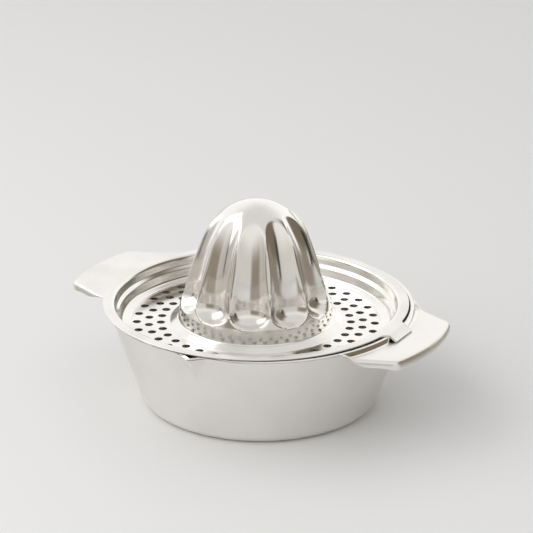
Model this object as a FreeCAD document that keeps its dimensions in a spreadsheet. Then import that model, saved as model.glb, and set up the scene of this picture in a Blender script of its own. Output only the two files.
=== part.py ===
import FreeCAD, Part
import math
import os
import Sketcher

# A two-piece pressed steel hand citrus juicer: a pouring bowl with a handle plate,
# and a strainer dish with a fluted reamer that rests on the bowl's rim.
# Frame: +Z up, origin at the centre of the bowl's base, +X towards the bowl's handle.
# Lengths are in millimetres, angles in degrees.

os.makedirs("parts", exist_ok=True)
doc = FreeCAD.newDocument("citrus_juicer")
sheet = doc.addObject("Spreadsheet::Sheet", "sizes")


class Size:
    """A number together with the expression that gives it from the sheet."""

    def __init__(self, number, text):
        self.number = number
        self.text = text

    def join(self, other, sign, swap=False):
        if not isinstance(other, Size):
            other = Size(float(other), repr(float(other)))
        first, second = (other, self) if swap else (self, other)
        numbers = {
            "+": lambda a, b: a + b,
            "-": lambda a, b: a - b,
            "*": lambda a, b: a * b,
            "/": lambda a, b: a / b,
        }
        number = numbers[sign](first.number, second.number)
        return Size(number, "(" + first.text + " " + sign + " " + second.text + ")")

    def __add__(self, other):
        return self.join(other, "+")

    def __radd__(self, other):
        return self.join(other, "+", True)

    def __sub__(self, other):
        return self.join(other, "-")

    def __rsub__(self, other):
        return self.join(other, "-", True)

    def __mul__(self, other):
        return self.join(other, "*")

    def __rmul__(self, other):
        return self.join(other, "*", True)

    def __truediv__(self, other):
        return self.join(other, "/")

    def __rtruediv__(self, other):
        return self.join(other, "/", True)

    def __neg__(self):
        return self.join(-1.0, "*")


row = 0


def size(alias, number, note):
    """Write one driving dimension into the sheet and return it."""
    global row
    row += 1
    sheet.set("A" + str(row), note)
    sheet.set("B" + str(row), str(number))
    sheet.setAlias("B" + str(row), alias)
    return Size(float(number), "sizes." + alias)


# Bowl
bowl_height = size("bowl_height", 46.4, "bowl height up to its rim face")
bowl_base = size("bowl_base", 53.9, "radius where the wall's line meets the table")
bowl_lean = size("bowl_lean", 0.334, "wall radius gained per mm of height")
bowl_sheet = size("bowl_sheet", 0.8, "bowl sheet thickness")
bowl_heel = size("bowl_heel", 6.0, "outer radius of the base corner")
bowl_rim = size("bowl_rim", 70.2, "outer radius of the bowl's rim flange")
# Bowl handle plate
plate_drop = size("plate_drop", 2.2, "plate face below the rim face")
plate_reach = size("plate_reach", 87.5, "radius of the plate lip's outer face")
plate_corner = size("plate_corner", 27.0, "half width at the outer corners")
plate_root = size("plate_root", 42.3, "half width on the root line")
plate_start = size("plate_start", 45.0, "distance of the root line from the axis")
plate_lip = size("plate_lip", 4.0, "depth of the turned-down lip")
plate_round = size("plate_round", 4.5, "corner radius of the plate")
plate_bend = size("plate_bend", 1.9, "bend radius between plate and lip")
lip_start = size("lip_start", 58.0, "where the side lips begin, from the axis")
lip_full = size("lip_full", 70.0, "where the side lips reach their depth, from the axis")
side_lip = size("side_lip", 3.2, "depth of the side lips")
neck_run = size("neck_run", 1.2, "how far the neck runs out below the rim")
neck_angle = size("neck_angle", 56.0, "angle that the neck under the rim spans")
# Spout
spout_angle = size("spout_angle", -86.0, "direction of the spout")
spout_reach = size("spout_reach", 73.0, "spout tip from the axis")
spout_half = size("spout_half", 7.0, "half width of the spout's mouth")
spout_foot = size("spout_foot", 33.0, "height of the foot of the spout's crease")
# Strainer dish
dish_sheet = size("dish_sheet", 0.8, "strainer sheet thickness")
dish_rim = size("dish_rim", 70.0, "outer radius of the dish rim")
dish_inner = size("dish_inner", 64.6, "inner radius of the dish wall at the rim")
wall_step_drop = size("wall_step_drop", 4.2, "depth of the step in the dish wall")
wall_step_high = size("wall_step_high", 64.0, "wall radius above the step")
wall_step_low = size("wall_step_low", 62.5, "wall radius below the step")
wall_step_rise = size("wall_step_rise", 1.3, "height of the step")
dish_corner_drop = size("dish_corner_drop", 9.8, "depth of the floor's outer corner")
dish_corner = size("dish_corner", 61.6, "radius of the floor's outer corner")
dish_depth = size("dish_depth", 10.6, "depth of the strainer floor")
floor_outer = size("floor_outer", 57.5, "outer radius of the flat floor")
floor_inner = size("floor_inner", 40.0, "inner radius of the flat floor")
collar_step = size("collar_step", 8.6, "depth of the collar's foot")
collar_foot = size("collar_foot", 36.0, "radius of the collar's foot")
hole_size = size("hole_size", 3.8, "diameter of a strainer hole")
hole_count = size("hole_count", 35, "holes in each ring")
ring_outer = size("ring_outer", 54.6, "radius of the outer ring of holes")
ring_middle = size("ring_middle", 49.2, "radius of the middle ring of holes")
ring_inner = size("ring_inner", 43.6, "radius of the inner ring of holes")
turn_outer = size("turn_outer", 6.0, "turn of the outer ring of holes")
turn_middle = size("turn_middle", 0.0, "turn of the middle ring of holes")
turn_inner = size("turn_inner", 7.2, "turn of the inner ring of holes")
# Strainer handle tab
tab_reach = size("tab_reach", 88.6, "radius of the tab lip's outer face")
tab_corner = size("tab_corner", 23.6, "half width at the tab's outer corners")
tab_root = size("tab_root", 38.5, "half width on the root line")
tab_start = size("tab_start", 52.0, "distance of the root line from the axis")
tab_lip = size("tab_lip", 3.6, "depth of the turned-down lip")
tab_round = size("tab_round", 6.5, "corner radius of the tab")
tab_bend = size("tab_bend", 1.7, "bend radius between tab and lip")
tab_lip_start = size("tab_lip_start", 61.5, "where the side lips begin, from the axis")
tab_lip_full = size("tab_lip_full", 74.0, "where the side lips reach their depth")
tab_side_lip = size("tab_side_lip", 3.0, "depth of the tab's side lips")
rest_shift = size("rest_shift", 2.2, "how far the loose strainer has slid towards its tab")
rest_gap = size("rest_gap", 0.4, "clearance of the tab's lips round the bowl rim")
# Strainer tongue
tongue_half = size("tongue_half", 7.9, "half width of the tongue")
tongue_fold = size("tongue_fold", 73.3, "distance of the fold from the axis")
tongue_run = size("tongue_run", 3.0, "how far the tongue's slope runs out")
step_radius = size("step_radius", 38.5, "radius of the step between collar and floor")
step_drop = size("step_drop", 10.1, "depth of that step's lower edge")
rim_roll = size("rim_roll", 1.4, "radius of the roll from the rim into the wall")
tongue_root = size("tongue_root", 2.6, "fillet where the tongue leaves the rim")
# Reamer
cone_zone = size("cone_zone", 40.4, "radius on the flat floor where the cone's part of the sheet ends")
reamer_base = size("reamer_base", 35.2, "outer radius of the collar")
reamer_waist = size("reamer_waist", 34.8, "ridge radius at the flutes' lower ends")
waist_drop = size("waist_drop", 1.6, "depth of the flutes' lower ends")
shoulder_rise = size("shoulder_rise", 29.0, "height of the shoulder over the rim")
shoulder = size("shoulder", 25.0, "ridge radius at the shoulder")
flank_curve = size("flank_curve", 274.0, "curve radius of the ridges up to the shoulder")
crown_rise = size("crown_rise", 48.0, "height of the tip over the rim")
crown_curve = size("crown_curve", 28.0, "curve radius of the ridges to the tip")
flute_count = size("flute_count", 11, "number of flutes")
flute_size = size("flute_size", 11.25, "radius of a flute")
flute_axis = size("flute_axis", 38.0, "distance of the flute's centre line at its foot")
flute_foot = size("flute_foot", 4.6, "height over the rim where the flute's foot starts")
flute_sweep = size("flute_sweep", 78.0, "curve radius of the flute's centre line")
flute_toe = size("flute_toe", 6.4, "depth of the flute's rounded foot")
flute_arc = size("flute_arc", 40.0, "angle of the flute's centre line")
doc.recompute()

rim_top = bowl_height + dish_sheet
failed = ("Invalid", "Error")


def checked(feature):
    """Recompute and stop if the feature failed."""
    doc.recompute()
    state = [word for word in feature.State if word in failed]
    if state:
        raise RuntimeError(feature.Name + " " + str(state))
    return feature


def new_body(name):
    body = doc.addObject("PartDesign::Body", name)
    body.Label = name
    return body


def plane(body, role):
    return [item for item in body.Origin.OriginFeatures if item.Role == role][0]


def new_sketch(body, name, role, height=None, turn=None):
    """A sketch on one of the body's own planes, lifted and turned by sheet values."""
    sketch = body.newObject("Sketcher::SketchObject", name)
    sketch.AttachmentSupport = [(plane(body, role), "")]
    sketch.MapMode = "FlatFace"
    lift = height.number if height else 0.0
    angle = turn.number if turn else 0.0
    axis = FreeCAD.Vector(0, 0, 1)
    offset = FreeCAD.Placement(FreeCAD.Vector(0, 0, lift), FreeCAD.Rotation(axis, angle))
    sketch.AttachmentOffset = offset
    if height:
        sketch.setExpression("AttachmentOffset.Base.z", height.text)
    if turn:
        sketch.setExpression("AttachmentOffset.Rotation.Angle", turn.text)
    return sketch


def bind(sketch, constraint, expression):
    """Add one constraint and tie its value to the sheet."""
    index = sketch.addConstraint(constraint)
    sketch.setExpression("Constraints[" + str(index) + "]", expression.text)
    return index


def as_size(value):
    return value if isinstance(value, Size) else Size(float(value), repr(float(value)))


def outline(sketch, points, arcs=None):
    """A closed outline through points; arcs maps a segment to its radius (+ turns left)."""
    arcs = arcs or {}
    points = [(as_size(a), as_size(b)) for a, b in points]
    total = len(points)
    for index in range(total):
        start = points[index]
        end = points[(index + 1) % total]
        a = FreeCAD.Vector(start[0].number, start[1].number, 0)
        b = FreeCAD.Vector(end[0].number, end[1].number, 0)
        if index in arcs:
            radius = abs(arcs[index].number)
            side = 1.0 if arcs[index].number > 0 else -1.0
            chord = b - a
            left = FreeCAD.Vector(-chord.y, chord.x, 0)
            left.normalize()
            reach = math.sqrt(radius ** 2 - chord.Length ** 2 / 4)
            sag = radius - reach
            middle = (a + b) * 0.5 - left * (side * sag)
            curve = Part.Arc(a, middle, b) if side > 0 else Part.Arc(b, middle, a)
            sketch.addGeometry(curve, False)
        else:
            sketch.addGeometry(Part.LineSegment(a, b), False)
    ends = {}
    for index in range(total):
        first, last = 1, 2
        if index in arcs:
            curve = sketch.Geometry[index]
            a = FreeCAD.Vector(points[index][0].number, points[index][1].number, 0)
            if (curve.StartPoint - a).Length > (curve.EndPoint - a).Length:
                first, last = 2, 1
        ends[index] = (first, last)
    for index in range(total):
        after = (index + 1) % total
        sketch.addConstraint(Sketcher.Constraint("Coincident", index, ends[index][1], after, ends[after][0]))
    for index in range(total):
        corner = ends[index][0]
        for name, value in zip(("DistanceX", "DistanceY"), points[index]):
            if abs(value.number) < 1e-9:
                axis = -2 if name == "DistanceX" else -1
                sketch.addConstraint(Sketcher.Constraint("PointOnObject", index, corner, axis))
            else:
                bind(sketch, Sketcher.Constraint(name, -1, 1, index, corner, value.number), value)
    for index, radius in arcs.items():
        value = radius if radius.number > 0 else -radius
        bind(sketch, Sketcher.Constraint("Radius", index, value.number), value)
    return checked(sketch)


def handle_outline(sketch, side, start, root, reach, corner):
    """A tapering plate outline that ends in an arc about the origin."""
    across = math.sqrt(reach.number ** 2 - corner.number ** 2)
    a = FreeCAD.Vector(side * start.number, root.number, 0)
    b = FreeCAD.Vector(side * across, corner.number, 0)
    c = FreeCAD.Vector(side * across, -corner.number, 0)
    d = FreeCAD.Vector(side * start.number, -root.number, 0)
    tip = FreeCAD.Vector(side * reach.number, 0, 0)
    sketch.addGeometry(Part.LineSegment(a, b), False)
    sketch.addGeometry(Part.Arc(c, tip, b) if side > 0 else Part.Arc(b, tip, c), False)
    sketch.addGeometry(Part.LineSegment(c, d), False)
    sketch.addGeometry(Part.LineSegment(d, a), False)
    first, last = (2, 1) if side > 0 else (1, 2)
    sketch.addConstraint(Sketcher.Constraint("Coincident", 0, 2, 1, first))
    sketch.addConstraint(Sketcher.Constraint("Coincident", 1, last, 2, 1))
    sketch.addConstraint(Sketcher.Constraint("Coincident", 2, 2, 3, 1))
    sketch.addConstraint(Sketcher.Constraint("Coincident", 3, 2, 0, 1))
    sketch.addConstraint(Sketcher.Constraint("Coincident", 1, 3, -1, 1))
    bind(sketch, Sketcher.Constraint("Radius", 1, reach.number), reach)
    for geometry, point, value in ((0, 1, root), (0, 2, corner), (2, 1, -corner), (2, 2, -root)):
        bind(sketch, Sketcher.Constraint("DistanceY", -1, 1, geometry, point, value.number), value)
    for geometry, point in ((0, 1), (2, 2)):
        value = side * start
        bind(sketch, Sketcher.Constraint("DistanceX", -1, 1, geometry, point, value.number), value)
    return checked(sketch)


def loft(body, name, kind, sections):
    """A ruled loft that adds to or cuts from the body."""
    feature = body.newObject("PartDesign::" + kind, name)
    feature.Profile = sections[0]
    feature.Sections = sections[1:]
    feature.Ruled = True
    return checked(feature)


def turn_about_z(body, name, kind, sketch, angle=None):
    """A Revolution or Groove of a sketch about the vertical axis."""
    feature = body.newObject("PartDesign::" + kind, name)
    feature.Profile = sketch
    feature.ReferenceAxis = (sketch, ["V_Axis"])
    feature.Angle = angle.number if angle else 360.0
    if angle:
        feature.setExpression("Angle", angle.text)
        feature.Midplane = True
    return checked(feature)


def pad(body, name, kind, sketch, length, upward=True, both=False):
    """A Pad or Pocket of a sketch, along or against the sketch's normal."""
    feature = body.newObject("PartDesign::" + kind, name)
    feature.Profile = sketch
    feature.Length = length.number
    feature.setExpression("Length", length.text)
    feature.Midplane = both
    feature.Reversed = (kind == "Pad") != upward
    return checked(feature)


def fillet(body, name, radius, wanted):
    """Round the edges of the body's tip that the test picks."""
    base = body.Tip
    names = []
    for index, edge in enumerate(base.Shape.Edges):
        if wanted(edge):
            names.append("Edge" + str(index + 1))
    if not names:
        raise RuntimeError(name + " found no edge")
    feature = body.newObject("PartDesign::Fillet", name)
    feature.Base = (base, names)
    feature.Radius = radius.number
    feature.setExpression("Radius", radius.text)
    return checked(feature)


def is_circle(edge, radius, height):
    """True for an edge on a level circle about the axis."""
    for vertex in edge.Vertexes:
        point = vertex.Point
        if abs(math.hypot(point.x, point.y) - radius) > 0.02 or abs(point.z - height) > 0.02:
            return False
    middle = edge.valueAt((edge.FirstParameter + edge.LastParameter) / 2)
    return abs(math.hypot(middle.x, middle.y) - radius) < 0.02 and abs(middle.z - height) < 0.02


def wall_at(height):
    """Outer radius of the bowl's wall at a height."""
    return bowl_base + bowl_lean * height


# Bowl
bowl = new_body("bowl")
plate_top = bowl_height - plate_drop
lip_foot = plate_top - plate_lip


def tray(body, word, side, top, lip, sheet_size, start, root, reach, corner, rounding, bend):
    """A plate whose free edges turn down into lips, open below and at its root."""
    foot = top - lip
    middle = (start.number + reach.number) / 2

    def upright(edge):
        box = edge.BoundBox
        far = min(abs(box.XMin), abs(box.XMax))
        return box.ZLength > 0.5 and box.XLength < 0.01 and box.YLength < 0.01 and far > middle

    def level(height):
        def test(edge):
            box = edge.BoundBox
            far = max(abs(box.XMin), abs(box.XMax))
            flat = box.ZLength < 0.01 and abs(box.ZMax - height) < 0.01
            return flat and far > start.number + 0.5
        return test

    blank = new_sketch(body, word + "_blank_outline", "XY_Plane", foot)
    handle_outline(blank, side, start, root, reach, corner)
    pad(body, word + "_blank", "Pad", blank, lip)
    outer_corners = [edge.CenterOfMass for edge in body.Shape.Edges if upright(edge)]
    hollow = new_sketch(body, word + "_hollow_outline", "XY_Plane", foot)
    back = start - 2.0
    handle_outline(hollow, side, back, root - sheet_size, reach - sheet_size, corner - sheet_size)
    pad(body, word + "_hollow", "Pocket", hollow, lip - sheet_size)

    def outer(edge):
        return min((edge.CenterOfMass - point).Length for point in outer_corners) < 0.05

    def inner(edge):
        return not outer(edge)

    fillet(body, word + "_inner_corners", rounding - sheet_size, lambda e: upright(e) and inner(e))
    fillet(body, word + "_outer_corners", rounding, lambda e: upright(e) and outer(e))
    fillet(body, word + "_outer_bend", bend, level(top.number))
    ceiling = level((top - sheet_size).number)
    fillet(body, word + "_inner_bend", bend - sheet_size, ceiling)


tray(bowl, "plate", 1.0, plate_top, plate_lip, bowl_sheet, plate_start, plate_root,
     plate_reach, plate_corner, plate_round, plate_bend)



def trim_lips(body, word, side, top, foot, sheet_size, begin, full, side_depth, reach, root):
    """Taper the side lips to nothing where the plate meets the rim."""
    under = top - sheet_size
    low = foot - 1.0
    points = [
        (side * (begin - 20.0), low),
        (side * (reach + 2.0), low),
        (side * (reach + 2.0), foot),
        (side * (reach - 4.0), foot),
        (side * full, top - side_depth),
        (side * begin, under),
        (side * (begin - 20.0), under),
    ]
    cut = new_sketch(body, word + "_lip_taper", "XZ_Plane")
    outline(cut, points)
    pad(body, word + "_taper", "Pocket", cut, 2.0 * root + 20.0, True, True)


trim_lips(bowl, "plate", 1.0, plate_top, lip_foot, bowl_sheet, lip_start, lip_full,
          side_lip, plate_reach, plate_root)

flange_foot = bowl_height - bowl_sheet
slant = 1.0 + bowl_lean * bowl_lean / 2.0 - bowl_lean * bowl_lean * bowl_lean * bowl_lean / 8.0
level_wall = bowl_sheet * slant


def heel_points(corner, height, radius):
    """Where a base corner's arc leaves the flat base and where it meets the wall."""
    run = radius * (slant - bowl_lean)
    return [(corner - run, height), (corner + run * bowl_lean / slant, height + run / slant)]


outside = new_sketch(bowl, "bowl_outside_outline", "XZ_Plane")
outer_heel = heel_points(bowl_base, Size(0.0, "0.0"), bowl_heel)
outline(outside, [(0, 0)] + outer_heel + [
    (wall_at(flange_foot), flange_foot),
    (bowl_rim, flange_foot),
    (bowl_rim, bowl_height),
    (0, bowl_height),
], {1: bowl_heel})
turn_about_z(bowl, "bowl_outside", "Revolution", outside)

neck = new_sketch(bowl, "neck_outline", "XZ_Plane")
outline(neck, [
    (wall_at(plate_top) - level_wall / 2.0, plate_top - bowl_sheet / 2.0),
    (bowl_rim + neck_run, plate_top - bowl_sheet / 2.0),
    (bowl_rim + neck_run, plate_top),
    (bowl_rim, bowl_height),
    (wall_at(plate_top) - level_wall / 2.0, bowl_height),
])
turn_about_z(bowl, "neck", "Revolution", neck, neck_angle)

# The spout is a V that grows out of the wall from a foot on the wall up to the rim.
spout_slope = (spout_reach - wall_at(bowl_height)) / spout_half
spout_back = wall_at(bowl_height) - level_wall * 1.5
foot_back = wall_at(spout_foot) - level_wall


def spout_section(name, height, tip, back):
    """A level triangle with its tip outward, turned to the spout's direction."""
    half = (tip - back) / spout_slope
    section = new_sketch(bowl, name, "XY_Plane", height, spout_angle)
    return outline(section, [(back, -half), (tip, 0), (back, half)])


spout_loft = [
    spout_section("spout_foot_outline", spout_foot, wall_at(spout_foot) + 0.05, foot_back),
    spout_section("spout_mouth_outline", bowl_height, spout_reach, spout_back),
]
loft(bowl, "spout", "AdditiveLoft", spout_loft)

inside = new_sketch(bowl, "bowl_inside_outline", "XZ_Plane")
inner_base = wall_at(bowl_sheet) - level_wall
inner_top = wall_at(bowl_height) - level_wall
inner_heel = heel_points(inner_base, bowl_sheet, bowl_heel - bowl_sheet)
outline(inside, [(0, bowl_sheet)] + inner_heel + [
    (inner_top, bowl_height),
    (0, bowl_height),
], {1: bowl_heel - bowl_sheet})
turn_about_z(bowl, "bowl_inside", "Groove", inside)

spout_wall = bowl_sheet * 1.4
spout_cut = [
    spout_section("spout_foot_cut", spout_foot, wall_at(spout_foot) - spout_wall, foot_back - 3.0),
    spout_section("spout_mouth_cut", bowl_height, spout_reach - spout_wall, spout_back - 6.0),
]
loft(bowl, "spout_channel", "SubtractiveLoft", spout_cut)
print("bowl", bowl.Shape.Volume, bowl.Shape.isValid(), bowl.Shape.BoundBox)

# Strainer dish with its tab and tongue
dish = new_body("dish")
tab_foot = rim_top - tab_lip
tray(dish, "tab", -1.0, rim_top, tab_lip, dish_sheet, tab_start, tab_root,
     tab_reach, tab_corner, tab_round, tab_bend)
trim_lips(dish, "tab", -1.0, rim_top, tab_foot, dish_sheet, tab_lip_start, tab_lip_full,
          tab_side_lip, tab_reach, tab_root)
clear = new_sketch(dish, "rim_clearance_outline", "XZ_Plane")
rim_middle = (dish_inner + dish_rim) / 2.0
outline(clear, [
    (0, tab_foot - 1.0),
    (bowl_rim + rest_gap, tab_foot - 1.0),
    (bowl_rim + rest_gap, bowl_height),
    (rim_middle, bowl_height),
    (rim_middle, rim_top + 1.0),
    (0, rim_top + 1.0),
])
turn_about_z(dish, "rim_clearance", "Groove", clear)

step_low = rim_top - wall_step_drop - wall_step_rise
step_high = rim_top - wall_step_drop
floor_top = rim_top - dish_depth
edge_top = rim_top - dish_corner_drop
collar_top = rim_top - collar_step
collar_inner = reamer_base - dish_sheet
bend_shift = dish_sheet * 0.35
section = new_sketch(dish, "dish_section", "XZ_Plane")
outline(section, [
    (collar_inner, collar_top - dish_sheet),
    (collar_foot - bend_shift, collar_top - dish_sheet),
    (step_radius - bend_shift, rim_top - step_drop - dish_sheet),
    (floor_inner, floor_top - dish_sheet),
    (floor_outer, floor_top - dish_sheet),
    (dish_corner + dish_sheet, edge_top - dish_sheet),
    (wall_step_low + dish_sheet, step_low - bend_shift),
    (wall_step_high + dish_sheet, step_high - bend_shift),
    (dish_inner + dish_sheet, bowl_height),
    (dish_rim, bowl_height),
    (dish_rim, rim_top),
    (dish_inner, rim_top),
    (wall_step_high, step_high),
    (wall_step_low, step_low),
    (dish_corner, edge_top),
    (floor_outer, floor_top),
    (floor_inner, floor_top),
    (step_radius, rim_top - step_drop),
    (collar_foot, collar_top),
    (collar_inner, collar_top),
])
turn_about_z(dish, "dish_sheet_metal", "Revolution", section)
fillet(dish, "roll", rim_roll, lambda edge: is_circle(edge, dish_inner.number, rim_top.number))

tongue = new_sketch(dish, "tongue_outline", "XZ_Plane")
tongue_tip = tongue_fold + tongue_run
outline(tongue, [
    (rim_middle, bowl_height),
    (tongue_fold - dish_sheet * 0.41, bowl_height),
    (tongue_tip - dish_sheet * 1.41, plate_top),
    (tongue_tip, plate_top),
    (tongue_fold, rim_top),
    (rim_middle, rim_top),
])
pad(dish, "tongue", "Pad", tongue, 2.0 * tongue_half, True, True)


def tongue_corner(edge):
    box = edge.BoundBox
    upright = box.ZLength > 0.5 and box.XLength < 0.01 and box.YLength < 0.01
    return upright and box.XMin > 60 and abs(abs(box.YMin) - tongue_half.number) < 0.05


fillet(dish, "tongue_roots", tongue_root, tongue_corner)


def ring_of_holes(name, radius, turn):
    """Strainer holes evenly spaced on one ring."""
    circle = new_sketch(dish, name + "_outline", "XY_Plane", floor_top + 1.0, turn)
    centre = FreeCAD.Vector(radius.number, 0, 0)
    up = FreeCAD.Vector(0, 0, 1)
    circle.addGeometry(Part.Circle(centre, up, hole_size.number / 2), False)
    bind(circle, Sketcher.Constraint("Diameter", 0, hole_size.number), hole_size)
    circle.addConstraint(Sketcher.Constraint("PointOnObject", 0, 3, -1))
    bind(circle, Sketcher.Constraint("DistanceX", -1, 1, 0, 3, radius.number), radius)
    checked(circle)
    hole = pad(dish, name + "_hole", "Pocket", circle, dish_sheet + 2.0, False)
    pattern = dish.newObject("PartDesign::PolarPattern", name)
    pattern.Originals = [hole]
    pattern.Axis = (plane(dish, "Z_Axis"), [""])
    pattern.Angle = 360.0
    pattern.Occurrences = int(hole_count.number)
    pattern.setExpression("Occurrences", hole_count.text)
    dish.Tip = pattern
    return checked(pattern)


ring_of_holes("outer_ring", ring_outer, turn_outer)
ring_of_holes("middle_ring", ring_middle, turn_middle)
ring_of_holes("inner_ring", ring_inner, turn_inner)
print("dish", dish.Shape.Volume, dish.Shape.isValid(), dish.Shape.BoundBox)


def fluted(name, inset, base):
    """The fluted cone, one flute cut from one slice that is then repeated about Z."""
    body = new_body(name)
    outer = new_sketch(body, name + "_outline", "XZ_Plane")
    outline(outer, [
        (0, base),
        (reamer_base - inset, base),
        (reamer_waist - inset, rim_top - waist_drop),
        (shoulder - inset, rim_top + shoulder_rise),
        (0, rim_top + crown_rise - inset),
    ], {2: flank_curve - inset, 3: crown_curve - inset})
    slice_angle = 360.0 / flute_count
    turn_about_z(body, name + "_slice", "Revolution", outer, slice_angle)
    level = rim_top + flute_foot
    circle = new_sketch(body, name + "_flute_outline", "XY_Plane", level)
    centre = FreeCAD.Vector(flute_axis.number, 0, 0)
    up = FreeCAD.Vector(0, 0, 1)
    radius = flute_size + inset
    circle.addGeometry(Part.Circle(centre, up, radius.number), False)
    pivot = flute_axis - flute_sweep
    low = FreeCAD.Vector(pivot.number, -10, 0)
    high = FreeCAD.Vector(pivot.number, 10, 0)
    circle.addGeometry(Part.LineSegment(low, high), True)
    bind(circle, Sketcher.Constraint("Radius", 0, radius.number), radius)
    circle.addConstraint(Sketcher.Constraint("PointOnObject", 0, 3, -1))
    bind(circle, Sketcher.Constraint("DistanceX", -1, 1, 0, 3, flute_axis.number), flute_axis)
    circle.addConstraint(Sketcher.Constraint("Vertical", 1))
    bind(circle, Sketcher.Constraint("DistanceX", -1, 1, 1, 1, pivot.number), pivot)
    circle.addConstraint(Sketcher.Constraint("DistanceY", -1, 1, 1, 1, -10.0))
    circle.addConstraint(Sketcher.Constraint("DistanceY", 1, 1, 1, 2, 20.0))
    checked(circle)
    before = body.Shape.Volume
    flute = body.newObject("PartDesign::Groove", name + "_flute")
    flute.Profile = circle
    flute.ReferenceAxis = (circle, ["Axis0"])
    flute.Angle = flute_arc.number
    flute.setExpression("Angle", flute_arc.text)
    flute.Reversed = True
    checked(flute)
    after = body.Shape.Volume
    toe = body.newObject("PartDesign::SubtractiveEllipsoid", name + "_flute_toe")
    toe.Radius1 = (flute_toe + inset).number
    toe.setExpression("Radius1", (flute_toe + inset).text)
    toe.Radius2 = radius.number
    toe.setExpression("Radius2", radius.text)
    toe.Radius3 = radius.number
    toe.setExpression("Radius3", radius.text)
    toe.Placement = FreeCAD.Placement(FreeCAD.Vector(flute_axis.number, 0, level.number), FreeCAD.Rotation())
    toe.setExpression("Placement.Base.x", flute_axis.text)
    toe.setExpression("Placement.Base.z", level.text)
    checked(toe)
    print(name, before, after, body.Shape.Volume)
    pattern = body.newObject("PartDesign::PolarPattern", name + "_flutes")
    pattern.TransformMode = "Whole shape"
    pattern.Axis = (plane(body, "Z_Axis"), [""])
    pattern.Angle = 360.0
    pattern.Occurrences = int(flute_count.number)
    pattern.setExpression("Occurrences", flute_count.text)
    body.Tip = pattern
    checked(pattern)
    print(name, body.Shape.Volume, body.Shape.isValid(), len(body.Shape.Solids))
    return body


none = Size(0.0, "0.0")
reamer = fluted("reamer", none, collar_top - dish_sheet)
core = fluted("reamer_core", dish_sheet, collar_top - dish_sheet - 1.0)

# The strainer fits loosely and has slid towards its tab, until its tongue nears the neck.
slide = none - rest_shift
for item in (dish, reamer, core):
    item.Placement.Base = FreeCAD.Vector(slide.number, 0, 0)
    item.setExpression("Placement.Base.x", slide.text)

joined = doc.addObject("Part::Fuse", "dish_and_reamer")
joined.Base = dish
joined.Tool = reamer
checked(joined)
sheet = doc.addObject("Part::Cut", "strainer_sheet")
sheet.Base = joined
sheet.Tool = core
checked(sheet)

# Dish and cone are one pressed sheet. They are kept as two solids that meet in a circle
# on the flat floor, since each is then a simple form of its own.
zone = doc.addObject("Part::Cylinder", "cone_zone")
zone.Radius = cone_zone.number
zone.setExpression("Radius", cone_zone.text)
zone.Placement.Base = FreeCAD.Vector(slide.number, 0, 0)
zone.setExpression("Placement.Base.x", slide.text)
zone.Height = (rim_top + crown_rise + dish_depth).number
zone.setExpression("Height", (rim_top + crown_rise + dish_depth).text)
checked(zone)
strainer = doc.addObject("Part::Cut", "strainer")
strainer.Base = sheet
strainer.Tool = zone
strainer.Label = "strainer"
checked(strainer)
cone = doc.addObject("Part::Common", "reamer_cone")
cone.Base = sheet
cone.Tool = zone
cone.Label = "cone"
checked(cone)

sub_parts = [bowl, strainer, cone]
doc.recompute()
for item in doc.Objects:
    if [word for word in item.State if word in failed]:
        raise RuntimeError(item.Name + " failed: " + str(item.State))
for part in sub_parts:
    if part.Shape.isNull() or not part.Shape.isValid():
        raise RuntimeError(part.Label + " has no valid shape")
    if len(part.Shape.Solids) != 1:
        raise RuntimeError(part.Label + " is not one solid")
common = bowl.Shape.common(strainer.Shape).Volume
print("overlap of bowl and strainer", round(common, 4))
for part in sub_parts:
    part.Shape.exportStep("parts/" + part.Label + ".step")
    print(part.Label, round(part.Shape.Volume, 1), part.Shape.BoundBox)
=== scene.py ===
# %% [markdown]
# # A two-piece steel citrus juicer
# The real object is two pressed sheets of stainless steel: a pouring bowl with a handle
# plate and a V spout, and a strainer dish with a fluted cone that rests on the bowl's rim.
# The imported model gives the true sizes. Here each sheet is modelled again as a smooth
# surface, because polished steel shows every facet in its reflections.

import bpy
import math
import numpy as np
from mathutils import Matrix, Vector


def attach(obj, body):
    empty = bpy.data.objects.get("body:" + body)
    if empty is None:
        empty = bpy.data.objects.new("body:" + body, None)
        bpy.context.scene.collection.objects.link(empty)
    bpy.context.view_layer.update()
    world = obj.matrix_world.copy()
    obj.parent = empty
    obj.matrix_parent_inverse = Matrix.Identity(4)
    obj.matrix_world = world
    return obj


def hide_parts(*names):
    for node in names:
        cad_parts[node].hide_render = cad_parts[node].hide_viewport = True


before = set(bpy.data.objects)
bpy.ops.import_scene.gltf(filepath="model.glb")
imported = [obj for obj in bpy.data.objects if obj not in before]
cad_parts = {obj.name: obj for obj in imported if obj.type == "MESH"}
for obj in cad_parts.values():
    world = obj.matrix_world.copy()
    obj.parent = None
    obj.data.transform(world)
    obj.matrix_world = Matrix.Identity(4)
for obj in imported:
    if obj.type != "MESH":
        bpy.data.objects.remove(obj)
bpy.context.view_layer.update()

# All sizes are in millimetres and are turned into metres with MM.
MM = 0.001
RIM = 47.2  # height of the strainer's rim
SHEET = 0.8  # thickness of both sheets
SLIDE = -2.2  # how far the loose strainer lies to its tab's side
STEPS = 720  # points round each rim
PLAIN_LIP = 0.34  # depth and bend of the edge where there is no handle
PLAIN_BEND = 0.3

# %% [markdown]
# ## Small helpers
# Every piece starts as one point that is extruded into the line of its section, and the
# line is spun about the upright axis, as a lathe or a spinning former would make it. The
# corners of the section are bends in sheet metal, so a helper rounds them with arcs.


# %% Selecting and editing
def only(piece):
    """Deselect everything, then select one object and make it active."""
    bpy.ops.object.select_all(action="DESELECT")
    piece.select_set(True)
    bpy.context.view_layer.objects.active = piece


def edit(piece):
    only(piece)
    bpy.ops.object.mode_set(mode="EDIT")


def leave():
    bpy.ops.object.mode_set(mode="OBJECT")


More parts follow.
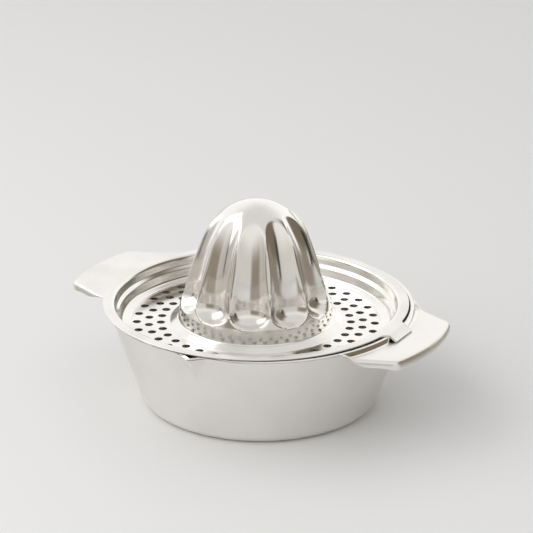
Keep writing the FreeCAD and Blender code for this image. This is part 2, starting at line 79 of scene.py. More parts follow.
def settle(piece):
    """Write the object's place into its mesh."""
    only(piece)
    bpy.ops.object.transform_apply(location=True, rotation=True, scale=True)


# %% Rounding a section's corners
def rounded(corners, pieces=6):
    """Points of a line whose corners (radius, height, bend) are rounded with arcs."""
    points = []
    for index, (r, z, bend) in enumerate(corners):
        here = Vector((r, z))
        if bend <= 0 or index in (0, len(corners) - 1):
            points.append((r, z))
            continue
        before = (Vector(corners[index - 1][:2]) - here).normalized()
        after = (Vector(corners[index + 1][:2]) - here).normalized()
        half = before.angle(after) / 2
        reach = bend / math.tan(half)
        start = here + before * reach
        end = here + after * reach
        centre = here + (before + after).normalized() * (bend / math.sin(half))
        for step in range(pieces + 1):
            mix = start.lerp(end, step / pieces) - centre
            point = centre + mix.normalized() * bend
            points.append((point.x, point.y))
    return points


def divided(points, longest):
    """The same line with its long straight runs divided evenly."""
    result = [points[0]]
    for a, b in zip(points, points[1:]):
        parts = max(1, math.ceil(math.dist(a, b) / longest))
        for step in range(1, parts + 1):
            share = step / parts
            result.append((a[0] + (b[0] - a[0]) * share, a[1] + (b[1] - a[1]) * share))
    return result


# %% Spinning a section
def spun(name, section, steps):
    """A surface of revolution from a line of (radius, height) points in millimetres."""
    bpy.ops.object.select_all(action="DESELECT")
    bpy.ops.mesh.primitive_plane_add(size=0.0001, location=(0, 0, 0))
    piece = bpy.context.object
    piece.name = name
    bpy.ops.object.mode_set(mode="EDIT")
    bpy.ops.mesh.select_mode(type="VERT")
    bpy.ops.mesh.select_all(action="SELECT")
    bpy.ops.mesh.merge(type="CENTER")
    first = section[0]
    bpy.ops.transform.translate(value=(first[0] * MM, 0, first[1] * MM))
    for a, b in zip(section, section[1:]):
        step = ((b[0] - a[0]) * MM, 0, (b[1] - a[1]) * MM)
        bpy.ops.mesh.extrude_region_move(TRANSFORM_OT_translate={"value": step})
    bpy.ops.mesh.select_all(action="SELECT")
    bpy.ops.mesh.spin(steps=steps, angle=math.tau, center=(0, 0, 0), axis=(0, 0, 1))
    bpy.ops.mesh.select_all(action="SELECT")
    bpy.ops.mesh.remove_doubles(threshold=0.000002)
    leave()
    settle(piece)
    print(name, "spun", len(piece.data.vertices), "points")
    return piece


# %% Turning a surface's faces the right way
def facing(piece, test_direction):
    """Flip the whole surface if its faces point away from the direction on average."""
    faces = piece.data.polygons
    total = sum(face.normal.dot(test_direction(face.center)) * face.area for face in faces)
    edit(piece)
    bpy.ops.mesh.select_all(action="SELECT")
    if total < 0:
        bpy.ops.mesh.flip_normals()
    leave()


def softened(piece, name, width):
    """Round the sharp edges by a width and shade the rest smooth."""
    soft = piece.modifiers.new(name, "BEVEL")
    soft.limit_method = "ANGLE"
    soft.angle_limit = math.radians(62)
    soft.width = width * MM
    soft.segments = 2
    bpy.ops.object.modifier_apply(modifier=name)
    bpy.ops.object.shade_smooth_by_angle(angle=math.radians(38))


def sheet_metal(piece, edge=0.22):
    """Give the surface the sheet's thickness behind it and round its cut edges."""
    only(piece)
    wall = piece.modifiers.new("sheet", "SOLIDIFY")
    wall.thickness = SHEET * MM
    wall.offset = -1
    wall.use_quality_normals = True
    bpy.ops.object.modifier_apply(modifier="sheet")
    softened(piece, "cut_edge", edge)


def slid(piece):
    """Put a strainer piece where the loose strainer has slid, towards its tab."""
    only(piece)
    bpy.ops.transform.translate(value=(SLIDE * MM, 0, 0))
    settle(piece)


# %% [markdown]
# ## Free edges that turn down
# The rim, the handle tab and the handle plate all end in the same way: the flat sheet
# bends over and turns down. The spun surface stops just inside the rim, and its open
# edge is extruded row by row; each new point is placed on the next line of the bend.
# Every point keeps the angle that it had on the rim, so one rule places all of them.


# %% Extruding an open edge row by row
def edge_points(piece, radius, keep):
    """Select the open edge at a radius where keep(angle) holds; returns its points' angles."""
    edit(piece)
    bpy.ops.mesh.select_mode(type="EDGE")
    bpy.ops.mesh.select_all(action="DESELECT")
    leave()
    mesh = piece.data
    far = {}
    for vertex in mesh.vertices:
        r = math.hypot(vertex.co.x, vertex.co.y)
        if abs(r - radius * MM) < 0.00002:
            far[vertex.index] = math.atan2(vertex.co.y, vertex.co.x)
    for line in mesh.edges:
        a, b = line.vertices
        if a in far and b in far:
            middle = (mesh.vertices[a].co + mesh.vertices[b].co) / 2
            if keep(math.atan2(middle.y, middle.x)):
                line.select = True
                mesh.vertices[a].select = True
                mesh.vertices[b].select = True
    return {v: angle for v, angle in far.items() if mesh.vertices[v].select}


def spot(point):
    """A point's place, rounded so that it can be looked up."""
    return (round(point.x, 7), round(point.y, 7), round(point.z, 7))


def grow(piece, angles, rows):
    """Extrude the selected open edge once per row; a row maps an angle to a point in mm."""
    known = {spot(piece.data.vertices[v].co): angle for v, angle in angles.items()}
    for row in rows:
        edit(piece)
        bpy.ops.mesh.extrude_edges_move()
        leave()
        fresh = {}
        for vertex in piece.data.vertices:
            if vertex.select:
                angle = known[spot(vertex.co)]
                x, y, z = row(angle)
                vertex.co = (x * MM, y * MM, z * MM)
                fresh[spot(vertex.co)] = angle
        known = fresh


def smooth(value):
    """0 below 0, 1 above 1, and an even curve between."""
    value = min(max(value, 0.0), 1.0)
    return value * value * (3 - 2 * value)


# %% The outline of a handle
def handle_line(reach, corner, root, root_x, bend, first):
    """Half of a handle's outline: side, rounded corner and end arc, from root to tip.

    Points go from the rim circle at angle first (degrees) to the middle of the end arc."""
    corner_x = math.sqrt(reach**2 - corner**2)
    side = Vector((corner_x - root_x, corner - root)).normalized()
    angle = math.radians(first)
    start = None
    for step in range(400):
        x = root_x + step * 0.1
        y = root + (x - root_x) * (corner - root) / (corner_x - root_x)
        if math.atan2(y, x) <= angle:
            start = Vector((x, y))
            break
    tip_angle = math.atan2(corner, corner_x)
    arc_start = Vector((reach * math.cos(tip_angle), reach * math.sin(tip_angle)))
    tangent = Vector((math.sin(tip_angle), -math.cos(tip_angle)))
    half = (-side).angle(tangent) / 2
    cut = bend / math.tan(half)
    a = arc_start - side * cut
    b = arc_start + tangent * cut
    centre = arc_start + ((-side) + tangent).normalized() * (bend / math.sin(half))
    line = [start.lerp(a, step / 40) for step in range(40)]
    for step in range(13):
        line.append(centre + (a.lerp(b, step / 12) - centre).normalized() * bend)
    last = math.atan2(b.y, b.x)
    for step in range(1, 41):
        turn = last * (1 - step / 40)
        line.append(Vector((reach * math.cos(turn), reach * math.sin(turn))))
    return line


def along(line):
    """A function from a share of the line's length to (point, inward direction)."""
    lengths = [0.0]
    for a, b in zip(line, line[1:]):
        lengths.append(lengths[-1] + (b - a).length)
    total = lengths[-1]

    def at(share):
        goal = min(max(share, 0.0), 1.0) * total
        index = int(np.searchsorted(lengths, goal))
        index = min(max(index, 1), len(line) - 1)
        a, b = line[index - 1], line[index]
        span = lengths[index] - lengths[index - 1]
        mix = 0 if span == 0 else (goal - lengths[index - 1]) / span
        point = a.lerp(b, mix)
        low = line[max(index - 2, 0)]
        high = line[min(index + 1, len(line) - 1)]
        direction = (high - low).normalized()
        inward = Vector((direction.y, -direction.x))
        if inward.dot(point) > 0:
            inward = -inward
        return point, inward

    return at


# %% [markdown]
# ## The strainer dish
# The dish is the outer part of the upper sheet: a wall with a small step, a broad
# rolled rim, the handle tab and the bent tongue. It is spun from its section, and the
# rim's open edge is then extruded into the tab and the tongue.

# %% Spin the dish
dish_section = rounded(
    [
        (57.0, RIM - 10.66, 0),
        (58.2, RIM - 10.5, 3.0),
        (61.6, RIM - 9.5, 1.3),
        (62.5, RIM - 5.5, 0.8),
        (64.0, RIM - 4.2, 0.7),
        (64.75, RIM, 1.7),
        (67.6, RIM, 0),
        (69.0, RIM - 0.06, 0),
    ]
)
dish = spun("strainer_dish", divided(dish_section, 2.2), STEPS)
facing(dish, lambda centre: Vector((0, 0, 1)))

# %% The tab and the plain rim
TAB = 29.6
tab_at = along(handle_line(88.6, 23.6, 38.5, 52.0, 6.5, TAB))
TONGUE = 8.6


def tab_edge(angle):
    """Outline point, inward direction, lip depth and bend of the rim at an angle."""
    turn = math.degrees(math.atan2(math.sin(angle), -math.cos(angle)))
    if abs(turn) >= TAB:
        out = Vector((math.cos(angle), math.sin(angle)))
        return out * 70.0, -out, PLAIN_LIP, PLAIN_BEND, -0.1
    point, inward = tab_at(1 - abs(turn) / TAB)
    flip = 1 if turn >= 0 else -1
    point = Vector((-point.x, point.y * flip))
    inward = Vector((-inward.x, inward.y * flip))
    depth = PLAIN_LIP + 2.7 * smooth((-point.x - 61.5) / 12.0)
    depth += 0.55 * smooth((-point.x - 76) / 8)
    blend = smooth((TAB - abs(turn)) / 3.0)
    radius = 70.0 * (1 - blend)
    out = Vector((math.cos(angle), math.sin(angle)))
    point = point * blend + out * radius
    inward = (inward * blend - out * (1 - blend)).normalized()
    lip = depth * blend + PLAIN_LIP * (1 - blend)
    return point, inward, lip, min(1.9, depth * 0.75), -0.1 * (1 - blend)


def bend_rows(rule, top):
    """The rows of a turned-down edge: the fold's start, its arc and the lip's end."""
    rows = []
    for degrees in (0, 22, 45, 68, 90):
        phi = math.radians(degrees)

        def row(angle, phi=phi):
            point, inward, depth, bend, lift = rule(angle)
            bend = min(bend, depth)
            place = point + inward * (bend * (1 - math.sin(phi)))
            return place.x, place.y, top + lift - bend * (1 - math.cos(phi))

        rows.append(row)

    def last(angle):
        point, inward, depth, bend, lift = rule(angle)
        return point.x, point.y, top + lift - max(depth, bend + 0.02)

    rows.append(last)
    return rows


limit = math.radians(TONGUE)
loop = edge_points(dish, 69.0, lambda angle: abs(angle) > limit)
grow(dish, loop, bend_rows(tab_edge, RIM))
print("rim and tab", len(loop), "points a row")


# %% The tongue
def tongue_row(x, half, drop):
    def row(angle):
        share = math.sin(angle) / math.sin(limit)
        return x, half * share, RIM - drop

    return row


def tongue_root(radius, drop, half=None):
    def row(angle):
        share = math.sin(angle) / math.sin(limit)
        y = radius * math.sin(limit) * share if half is None else half * share
        return math.sqrt(radius**2 - y**2), y, RIM - drop

    return row


loop = edge_points(dish, 69.0, lambda angle: abs(angle) < limit)
grow(
    dish,
    loop,
    [
        tongue_root(69.7, 0.05),
        tongue_root(70.1, 0.03, 9.8),
        tongue_root(70.7, 0.0, 8.9),
        tongue_row(71.3, 8.2, 0.02),
        tongue_row(71.7, 8.1, 0.1),
        tongue_row(72.1, 7.95, 0.25),
        tongue_row(72.5, 7.9, 0.45),
        tongue_row(75.7, 7.9, 2.25),
    ],
)
edit(dish)
bpy.ops.mesh.select_all(action="SELECT")
bpy.ops.mesh.remove_doubles(threshold=0.000004)
leave()
sheet_metal(dish)
print("dish", len(dish.data.polygons), "faces")

# %% [markdown]
# ## The strainer floor
# The flat ring between wall and cone carries three rings of 35 round holes, each ring
# turned a little against the next. One drill is modelled, copied to every place and
# cut from the ring in one go, and the holes' edges are softened.

# %% Make the floor ring and drill it
FLOOR = RIM - 10.6
UNDER = FLOOR - SHEET
floor_section = [(39.6, UNDER), (57.6, UNDER), (57.6, FLOOR), (39.6, FLOOR), (39.6, UNDER)]
floor = spun("strainer_floor", floor_section, 144)
edit(floor)
bpy.ops.mesh.select_all(action="SELECT")
bpy.ops.mesh.normals_make_consistent(inside=False)
leave()

HOLES = 35
rings = [(54.6, 6.0), (49.2, 0.0), (43.6, 7.2)]  # radius and turn in degrees
drills = []
bpy.ops.object.select_all(action="DESELECT")
bpy.ops.mesh.primitive_cylinder_add(vertices=32, radius=1.9 * MM, depth=6 * MM)
drill = bpy.context.object
for radius, turn in rings:
    for index in range(HOLES):
        angle = math.radians(turn + index * 360 / HOLES)
        copy = drill.copy()
        copy.data = drill.data.copy()
        copy.location = (radius * MM * math.cos(angle), radius * MM * math.sin(angle), FLOOR * MM)
        bpy.context.collection.objects.link(copy)
        drills.append(copy)
bpy.data.objects.remove(drill)
bpy.ops.object.select_all(action="DESELECT")
for copy in drills:
    copy.select_set(True)
bpy.context.view_layer.objects.active = drills[0]
bpy.ops.object.join()
drills = bpy.context.object
only(floor)
cut = floor.modifiers.new("holes", "BOOLEAN")
cut.operation = "DIFFERENCE"
cut.solver = "EXACT"
cut.object = drills
bpy.ops.object.modifier_apply(modifier="holes")
bpy.data.objects.remove(drills)
softened(floor, "hole_edge", 0.16)
flat = floor.modifiers.new("flat_top", "WEIGHTED_NORMAL")
flat.weight = 100
flat.keep_sharp = True
bpy.ops.object.modifier_apply(modifier="flat_top")
print("floor", len(floor.data.polygons), "faces")

# %% [markdown]
# ## The fluted cone
# Eleven flutes are pressed into a steep dome, and each ends at its foot in a rounded
# toe. The operators give no smooth channel that narrows and fades, so the dome is spun
# and each of its points is then drawn in to where a bent round bar would press it.


# %% The dome's section
def arc_between(a, b, radius, count):
    """Points on an arc that bulges away from the axis."""
    a, b = Vector(a), Vector(b)
    chord = b - a
    middle = (a + b) / 2
    inward = Vector((-chord.y, chord.x)).normalized()
    centre = middle + inward * math.sqrt(radius**2 - chord.length**2 / 4)
    points = []
    for step in range(count + 1):
        way = a.lerp(b, step / count) - centre
        points.append(tuple(centre + way.normalized() * radius))
    return points


collar = rounded(
    [
        (40.3, RIM - 10.66, 0),
        (39.4, RIM - 10.5, 1.5),
        (36.3, RIM - 8.7, 1.2),
        (35.3, RIM - 8.3, 0.6),
        (35.2, RIM - 7.0, 0),
    ]
)
flank = divided(
    [(35.2, RIM - 7.0), (34.8, RIM - 1.6)]
    + arc_between((34.8, RIM - 1.6), (25.0, RIM + 29.0), 274.0, 30)[1:],
    0.7,
)
crown = arc_between((25.0, RIM + 29.0), (0.0, RIM + 48.0), 28.0, 36)
cone_section = collar + flank[1:] + crown[1:]
cone = spun("reamer_cone", cone_section, 352)


# %% Press the flutes
def flute_radius(angle, z):
    """Distance from the axis to the pressed surface of the nearest flute, in mm."""
    pitch = math.tau / 11
    turn = (angle + pitch / 2) % pitch - pitch / 2
    size, axis, foot, sweep, toe = 11.25, 38.0, RIM + 4.6, 78.0, 6.4
    c, s = math.cos(turn), math.sin(turn)
    if z <= foot + 2.5:
        deep = 1 - ((foot + 2.5 - z) / (toe + 2.5)) ** 2.6
        if deep <= 0:
            return None
        ring = size * math.sqrt(deep)
        inner = ring**2 - (axis * s) ** 2
        return None if inner <= 0 else axis * c - math.sqrt(inner)

    def outside(r):
        run = math.hypot(r * c - (axis - sweep), z - foot) - sweep
        return run * run + (r * s) ** 2 - size**2

    low = 0.0
    for step in range(1, 46):
        high = step * 0.8
        if outside(high) < 0:
            for _ in range(24):
                middle = (low + high) / 2
                if outside(middle) < 0:
                    high = middle
                else:
                    low = middle
            return high
        low = high
    return None


def softer(a, b, width):
    """The smaller of two numbers, with the change from one to the other rounded."""
    mix = max(width - abs(a - b), 0.0) / width
    return min(a, b) - mix * mix * width * 0.25


for vertex in cone.data.vertices:
    x, y, z = (value / MM for value in vertex.co)
    r = math.hypot(x, y)
    if z < RIM - 2.5 or r < 0.01:
        continue
    pressed = flute_radius(math.atan2(y, x), z)
    if pressed is None:
        continue
    new = softer(r, pressed, 0.7)
    vertex.co.x *= new / r
    vertex.co.y *= new / r
facing(cone, lambda centre: Vector((centre.x, centre.y, 0.02)))
sheet_metal(cone, 0.1)
print("cone", len(cone.data.polygons), "faces")

# %% [markdown]
# ## The bowl
# The lower sheet is a plain spun bowl with a narrow flange. Its spout is a V that is
# drawn out of the wall near the rim, and its handle plate hangs a little lower than
# the rim, joined to it by a short neck, so that the strainer's tongue can lie on it.

# %% Spin the bowl
TOP = RIM - SHEET
LEAN = 0.334  # radius gained per millimetre of height
WALL = SHEET * math.sqrt(1 + LEAN**2)  # the sheet's thickness measured level


def wall(z):
    """Inner radius of the bowl's wall at a height."""
    return 53.9 + LEAN * z - WALL


low_wall = rounded([(0, SHEET, 0), (wall(SHEET), SHEET, 5.2), (wall(30), 30, 0)], 10)
high_wall = rounded([(wall(30), 30, 0), (wall(TOP), TOP, 0.9), (69.3, TOP, 0)], 5)
bowl_section = divided(low_wall, 8.0) + divided(high_wall, 0.7)[1:]
bowl = spun("pouring_bowl", bowl_section, STEPS)
facing(bowl, lambda centre: Vector((-centre.x, -centre.y, 0.05)))

# %% Draw out the spout
SPOUT = math.radians(-86.0)
FOOT = 33.0  # height at which the V starts
TIP = 73.0  # how far its tip reaches from the axis
SLOPE = (TIP - (wall(TOP) + WALL)) / 7.0


def from_spout(angle):
    """An angle as measured from the spout's middle."""
    return math.atan2(math.sin(angle - SPOUT), math.cos(angle - SPOUT))


def spout_radius(turn, z):
    """Distance from the axis to the inside of the V at an angle from its middle."""
    share = (min(z, TOP) - FOOT) / (TOP - FOOT)
    tip = wall(FOOT) + (TIP - 1.15 - wall(FOOT)) * share
    return tip / (math.cos(turn) + SLOPE * abs(math.sin(turn)))


def flange_share(turn):
    """How much of the flange is left beside the spout."""
    return 0.25 + 0.75 * smooth((abs(math.degrees(turn)) - 8.5) / 8)


for vertex in bowl.data.vertices:
    x, y, z = (value / MM for value in vertex.co)
    r = math.hypot(x, y)
    if z < FOOT - 0.5 or r < 60:
        continue
    turn = from_spout(math.atan2(y, x))
    if abs(turn) > math.radians(20):
        continue
    body = min(r, wall(TOP))
    extra = (r - body) * flange_share(turn)
    drawn = -softer(-body, -spout_radius(turn, z), 0.2)
    dip = 0.8 * smooth(1 - abs(math.degrees(turn)) / 6.5) * smooth((z - 42) / 4)
    vertex.co = (x * (drawn + extra) / r * MM, y * (drawn + extra) / r * MM, (z - dip) * MM)

# %% The plate, its neck and the plain rim
PLATE = 31.1
PLATE_TOP = RIM - 3.0
plate_at = along(handle_line(87.5, 27.0, 42.3, 45.0, 4.5, PLATE))


def lowered(angle):
    """0 at the ends of the neck, 1 where the plate is at its full depth."""
    return smooth((PLATE - abs(math.degrees(angle))) / 4.5)


def plate_edge(angle):
    turn = math.degrees(angle)
    point, inward = plate_at(1 - abs(turn) / PLATE)
    flip = 1 if turn >= 0 else -1
    point = Vector((point.x, point.y * flip))
    inward = Vector((inward.x, inward.y * flip))
    depth = PLAIN_LIP + 2.9 * smooth((point.x - 61.5) / 10)
    depth += 0.75 * smooth((point.x - 76) / 8)
    blend = lowered(angle)
    out = Vector((math.cos(angle), math.sin(angle)))
    near = smooth((PLATE - abs(turn)) / 3.0)
    point = point * near + out * (70.2 * (1 - near))
    inward = (inward * near - out * (1 - near)).normalized()
    lip = depth * near + PLAIN_LIP * (1 - near)
    return point, inward, lip, min(1.9, depth * 0.75), 2.2 * (1 - blend)


def neck_row(radius, share):
    def row(angle):
        drop = (TOP - PLATE_TOP) * lowered(angle) * share
        edge = 69.9 + (radius - 69.9) * smooth((PLATE - abs(math.degrees(angle))) / 3.0)
        return edge * math.cos(angle), edge * math.sin(angle), TOP - drop

    return row


def rim_edge(angle):
    turn = from_spout(angle)
    out = Vector((math.cos(angle), math.sin(angle)))
    radius = 70.2
    lift = 0.0
    if abs(turn) < math.radians(20):
        drawn = -softer(-wall(TOP), -spout_radius(turn, TOP), 0.2)
        radius = drawn + (70.2 - wall(TOP)) * flange_share(turn)
        lift = -0.8 * smooth(1 - abs(math.degrees(turn)) / 6.5)
    return out * radius, -out, PLAIN_LIP, PLAIN_BEND, lift


def open_edge(piece, keep):
    """Select the bowl's open edge, the only one it has, where keep(angle) holds."""
    edit(piece)
    bpy.ops.mesh.select_mode(type="EDGE")
    bpy.ops.mesh.select_all(action="DESELECT")
    bpy.ops.mesh.select_non_manifold()
    leave()
    mesh = piece.data
    chosen = {}
    for line in mesh.edges:
        if line.select:
            a, b = (mesh.vertices[v] for v in line.vertices)
            middle = (a.co + b.co) / 2
            line.select = keep(math.atan2(middle.y, middle.x)) and middle.z > 0.04
    for vertex in mesh.vertices:
        vertex.select = False
    for line in mesh.edges:
        if line.select:
            for v in line.vertices:
                vertex = mesh.vertices[v]
                vertex.select = True
                chosen[v] = math.atan2(vertex.co.y, vertex.co.x)
    return chosen


edge_angle = math.radians(PLATE)
loop = open_edge(bowl, lambda angle: abs(angle) > edge_angle)
grow(bowl, loop, bend_rows(rim_edge, TOP))
loop = edge_points(bowl, 69.3, lambda angle: abs(angle) < edge_angle)
neck = [(69.9, 0.04), (70.25, 0.16), (70.9, 0.86), (71.4, 0.98), (72.2, 1.0)]
neck_rows = [neck_row(radius, share) for radius, share in neck]
grow(bowl, loop, neck_rows + bend_rows(plate_edge, PLATE_TOP))
edit(bowl)
bpy.ops.mesh.select_all(action="SELECT")
bpy.ops.mesh.remove_doubles(threshold=0.000004)
leave()
sheet_metal(bowl)
print("bowl", len(bowl.data.polygons), "faces")

# %% [markdown]
# ## Writing shader maths as Python
# A small class wraps a node's output, so that sums of masks can be written as plain
# expressions. Each expression adds the Math nodes that it needs.


# %% The socket wrapper
class Wire:
    """One output in a node tree, with operators that add Math nodes."""

    def __init__(self, tree, socket):
        self.tree = tree
        self.socket = socket

    def node(self, kind, settings=None, output=0, **inputs):
        """Add any node: its settings first, then values or links for its sockets."""
        made = self.tree.nodes.new(kind)
        for key, value in (settings or {}).items():
            if key == "stops":
                ramp = made.color_ramp
                while len(ramp.elements) < len(value):
                    ramp.elements.new(0.5)
                for element, (place, colour) in zip(ramp.elements, value):
                    element.position = place
                    element.color = colour
            else:
                setattr(made, key, value)
        for key, value in inputs.items():
            name = key.replace("_", " ")
            target = made.inputs[int(key[1:])] if key[1:].isdigit() else made.inputs[name]
            if isinstance(value, Wire):
                self.tree.links.new(value.socket, target)
            else:
                target.default_value = value
        return Wire(self.tree, made.outputs[output])

    def maths(self, operation, *values):
        inputs = {"i" + str(index): value for index, value in enumerate(values)}
        return self.node("ShaderNodeMath", {"operation": operation}, **inputs)

    def __add__(self, other):
        return self.maths("ADD", self, other)

    __radd__ = __add__

    def __sub__(self, other):
        return self.maths("SUBTRACT", self, other)

    def __rsub__(self, other):
        return self.maths("SUBTRACT", other, self)

    def __mul__(self, other):
        return self.maths("MULTIPLY", self, other)

    __rmul__ = __mul__

    def __truediv__(self, other):
        return self.maths("DIVIDE", self, other)

    def clamped(self, low, high):
        """0 below low, 1 above high, smooth between."""
        settings = {"interpolation_type": "SMOOTHSTEP"}
        return self.node("ShaderNodeMapRange", settings, Value=self, From_Min=low, From_Max=high)


def steel(name):
    """An empty metal material: returns it, its shader and its Object coordinates."""
    material = bpy.data.materials.new(name)
    material.use_nodes = True
    tree = material.node_tree
    shader = tree.nodes["Principled BSDF"]
    shader.inputs["Metallic"].default_value = 1.0
    coordinates = tree.nodes.new("ShaderNodeTexCoord")
    return material, shader, Wire(tree, coordinates.outputs["Object"])


def feed(shader, name, wire):
    wire.tree.links.new(wire.socket, shader.inputs[name])


def mixed(place, factor, a, b):
    """Mix two colours, of which either may be a wire."""
    return place.node("ShaderNodeMix", {"data_type": "RGBA"}, 2, i0=factor, i6=a, i7=b)


def parts(place):
    """The x, y and z of a position or direction."""
    split = place.node("ShaderNodeSeparateXYZ", None, 0, Vector=place)
    sockets = split.socket.node.outputs
    return split, Wire(place.tree, sockets[1]), Wire(place.tree, sockets[2])


# %% [markdown]
# ## Polished steel
# The strainer and the bowl's plate are polished, yet not perfect mirrors: the press
# leaves long shallow waves that bend reflections, the polish varies in cloudy patches,
# and use leaves fine scratches. Waves and scratches go into the normal, clouds into the
# roughness and, very slightly, into the colour.


# %% Make the polished steel
def polished(name, bright, dull, gloss):
    material, shader, place = steel(name)
    clouds = place.node("ShaderNodeTexNoise", None, 0, Vector=place, Scale=45.0, Detail=3.0)
    grain = place.node("ShaderNodeTexNoise", None, 0, Vector=place, Scale=900.0, Detail=2.0)
    waves = place.node("ShaderNodeTexNoise", None, 0, Vector=place, Scale=38.0, Detail=1.0)
    patch = clouds.clamped(0.35, 0.7)
    x, y, z = parts(place)
    x = x - SLIDE * MM
    out = place.maths("SQRT", x * x + y * y)
    satin_top = out.clamped(0.0655, 0.0665) * z.clamped(0.0440, 0.0470)
    feed(shader, "Base Color", mixed(place, patch, bright, dull))
    feed(shader, "Roughness", patch * 0.07 + grain * 0.05 + satin_top * 0.24 + gloss)
    height = waves * 0.6 + grain * 0.012
    bump = place.node("ShaderNodeBump", None, 0, Height=height, Strength=0.08, Distance=0.0012)
    feed(shader, "Normal", bump)
    return material


strainer_steel = polished("polished_steel", (0.86, 0.845, 0.82, 1), (0.80, 0.785, 0.755, 1), 0.1)

# %% [markdown]
# ## Satin steel
# The bowl's wall has the satin finish that the sheet had before it was pressed: soft,
# nearly matt, with very fine lines round the bowl. Its flange and handle plate are
# polished like the strainer, so the roughness falls above the rim's underside.


# %% Make the satin steel
def satin(name):
    material, shader, place = steel(name)
    x, y, z = parts(place)
    turn = place.maths("ARCTAN2", y, x)
    out = place.maths("SQRT", x * x + y * y)
    ring = place.node("ShaderNodeCombineXYZ", None, 0, X=turn * 0.03, Y=out, Z=z)
    lines = place.node("ShaderNodeTexNoise", None, 0, Vector=ring, Scale=2600.0, Detail=2.0)
    clouds = place.node("ShaderNodeTexNoise", None, 0, Vector=place, Scale=30.0, Detail=3.0)
    waves = place.node("ShaderNodeTexNoise", None, 0, Vector=place, Scale=24.0, Detail=1.0)
    shine = (z.clamped(0.0452, 0.0458) + out.clamped(0.0699, 0.0704)).clamped(0.0, 1.0)
    bright, dull = (0.88, 0.865, 0.84, 1), (0.83, 0.815, 0.79, 1)
    feed(shader, "Base Color", mixed(place, clouds.clamped(0.3, 0.75), bright, dull))
    neck = out.clamped(0.0697, 0.0701) - out.clamped(0.0714, 0.0720)
    gloss = clouds * 0.08 + 0.3 - neck * 0.2
    brushed = lines * 0.1 + clouds * 0.06 + 0.3
    feed(shader, "Roughness", (1 - shine) * brushed + shine * gloss)
    height = lines * 0.02 + waves * 0.5
    bump = place.node("ShaderNodeBump", None, 0, Height=height, Strength=0.12, Distance=0.001)
    feed(shader, "Normal", bump)
    return material


bowl_steel = satin("satin_steel")

# %% Dress the pieces and tie them to their bodies
for piece, node in ((dish, "strainer"), (floor, "strainer"), (cone, "cone")):
    slid(piece)
    piece.data.materials.clear()
    piece.data.materials.append(strainer_steel)
    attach(piece, "strainer")
    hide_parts(node)
bowl.data.materials.clear()
bowl.data.materials.append(bowl_steel)
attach(bowl, "bowl")
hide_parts("bowl")

# %% [markdown]
# ## Floor, light and camera
# The juicer stands on a plain pale floor. Light comes from a broad soft lamp above and
# to the left and from a pale surround that is darker towards the camera, so that the
# steel has both bright and dark things to show.

# %% Directions round the juicer
def round_about(place, x, y):
    """The direction of a point in degrees from the camera's side, positive to its right."""
    near = x * 0.4918 - y * 0.8707
    side = x * 0.8707 + y * 0.4918
    return place.maths("ARCTAN2", side, near) * 57.3


def between(turn, low, high, soft=3.0):
    """1 inside a range of directions, 0 outside, smooth over a few degrees."""
    return turn.clamped(low - soft, low + soft) - turn.clamped(high - soft, high + soft)


# %% The floor
# Painted shade: for reflected rays the floor's colour is painted darker a short way out,
# towards the camera as under a bench's edge, and to the right and behind. For the camera
# itself it stays plain.
bpy.ops.object.select_all(action="DESELECT")
bpy.ops.mesh.primitive_plane_add(size=6.0, location=(0, 0, 0))
ground = bpy.context.object
ground.name = "ground"
stone = bpy.data.materials.new("pale_floor")
stone.use_nodes = True
tree = stone.node_tree
where = Wire(tree, tree.nodes.new("ShaderNodeTexCoord").outputs["Object"])
x, y, z = parts(where)
turn = round_about(where, x, y)
far = where.maths("SQRT", x * x + y * y).clamped(0.11, 0.19)
mirrored = far * Wire(tree, tree.nodes.new("ShaderNodeLightPath").outputs["Is Glossy Ray"])
# Painted shade: the darker floor colours that reflections see in these directions.
painted_floor_shade = [
    (between(turn, -115, -50, 8), (0.46, 0.43, 0.38, 1)),
    (between(turn, -50, -6, 6), (0.30, 0.26, 0.20, 1)),
    (between(turn, 66, 150, 8), (0.36, 0.31, 0.25, 1)),
]
shade = (0.80, 0.793, 0.785, 1)
for inside, colour in painted_floor_shade:
    shade = mixed(where, inside * mirrored, shade, colour)
tree.links.new(shade.socket, tree.nodes["Principled BSDF"].inputs["Base Color"])
tree.nodes["Principled BSDF"].inputs["Roughness"].default_value = 0.6
ground.data.materials.append(stone)

# %% The surround
# Seen from the juicer the room is bright above and behind, dim and warm towards the
# camera, and has two narrow dark stands in it, which show as streaks in the flutes.
world = bpy.data.worlds.new("surround")
bpy.context.scene.world = world
world.use_nodes = True
tree = world.node_tree
background = tree.nodes["Background"]
way = Wire(tree, tree.nodes.new("ShaderNodeTexCoord").outputs["Generated"])
x, y, z = parts(way)
turn = round_about(way, x, y)
low = 1 - z.clamped(0.25, 0.7)
cupboard = between(turn, 62, 122, 6) * (z.clamped(0.08, 0.2) - z.clamped(0.7, 0.9))
stands = between(turn, 58, 70, 1.2) + between(turn, -84, -78, 1.2)
things = [
    (between(turn, -115, -50, 8) * low, (0.56, 0.53, 0.49, 1)),
    (between(turn, -50, -6, 6) * low, (0.30, 0.26, 0.20, 1)),
    (between(turn, -6, 60, 8) * (1 - z.clamped(0.3, 0.8)), (0.72, 0.70, 0.66, 1)),
    (between(turn, 74, 118, 8) * low, (0.30, 0.26, 0.20, 1)),
    (cupboard, (0.20, 0.165, 0.12, 1)),
    (stands * (1 - z.clamped(0.5, 0.56)), (0.02, 0.02, 0.02, 1)),
]
room = mixed(way, z.clamped(0.45, 0.95), (1.12, 1.11, 1.09, 1), (0.78, 0.77, 0.75, 1))
for inside, colour in things:
    room = mixed(way, inside, room, colour)
path = tree.nodes.new("ShaderNodeLightPath")
mirrored = Wire(tree, path.outputs["Is Glossy Ray"])
seen = Wire(tree, path.outputs["Is Camera Ray"])
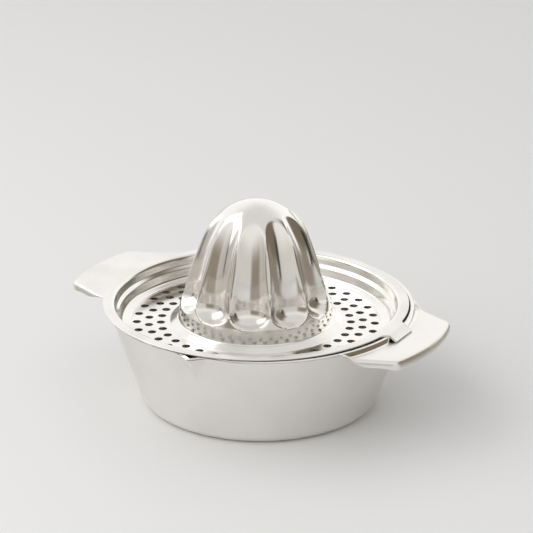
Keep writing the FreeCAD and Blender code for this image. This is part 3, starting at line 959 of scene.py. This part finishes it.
plain = mixed(way, seen, (0.66, 0.66, 0.66, 1), (0.72, 0.715, 0.71, 1))
lit = mixed(way, mirrored, plain, room)
tree.links.new(lit.socket, background.inputs["Color"])
background.inputs["Strength"].default_value = 1.0


# %% The lamps
def soft_lamp(name, place, target, size, power):
    lamp = bpy.data.lights.new(name, "AREA")
    lamp.shape = "RECTANGLE"
    lamp.size, lamp.size_y = size
    lamp.energy = power
    holder = bpy.data.objects.new(name, lamp)
    bpy.context.collection.objects.link(holder)
    holder.location = place
    aim = Vector(target) - Vector(place)
    holder.rotation_euler = aim.to_track_quat("-Z", "Y").to_euler()
    return holder


soft_lamp("window", (-0.9, -0.25, 0.85), (0, 0, 0.04), (1.0, 1.0), 3.6)
fill = soft_lamp("fill", (-0.35, -0.95, 0.75), (0, 0, 0.04), (1.2, 1.2), 6)
fill.visible_glossy = False

# %% The camera
# The rim's ellipse, the rings of holes and both handles fix the camera: about a metre
# away, 21 degrees above level and 29.5 degrees round from the front.
yaw, pitch, roll = math.radians(0.2831), math.radians(21.0383), math.radians(0.3683)
ahead = Vector((math.sin(yaw) * math.cos(pitch), math.cos(yaw) * math.cos(pitch), -math.sin(pitch)))
right = Vector((math.cos(yaw), -math.sin(yaw), 0))
up = right.cross(ahead)
right = right * math.cos(roll) + up * math.sin(roll)
up = right.cross(ahead)
around = Matrix.Rotation(math.radians(29.454), 4, "Z")
basis = Matrix((right, up, -ahead)).transposed().to_4x4()
place = Matrix.Translation(Vector((0, -949.9, 381.28 + RIM)) * MM)
lens = bpy.data.cameras.new("camera")
FOCAL, WIDTH, SENSOR = 2235.77, 533, 36  # pixels, pixels, mm
lens.lens = FOCAL * SENSOR / WIDTH
lens.sensor_width = SENSOR
lens.clip_start = 0.05
camera = bpy.data.objects.new("camera", lens)
bpy.context.collection.objects.link(camera)
camera.matrix_world = Matrix.Translation((SLIDE * MM, 0, 0)) @ around @ place @ basis
bpy.context.scene.camera = camera
bpy.context.scene.view_settings.view_transform = "Standard"
print("camera at", [round(value, 4) for value in camera.matrix_world.translation])
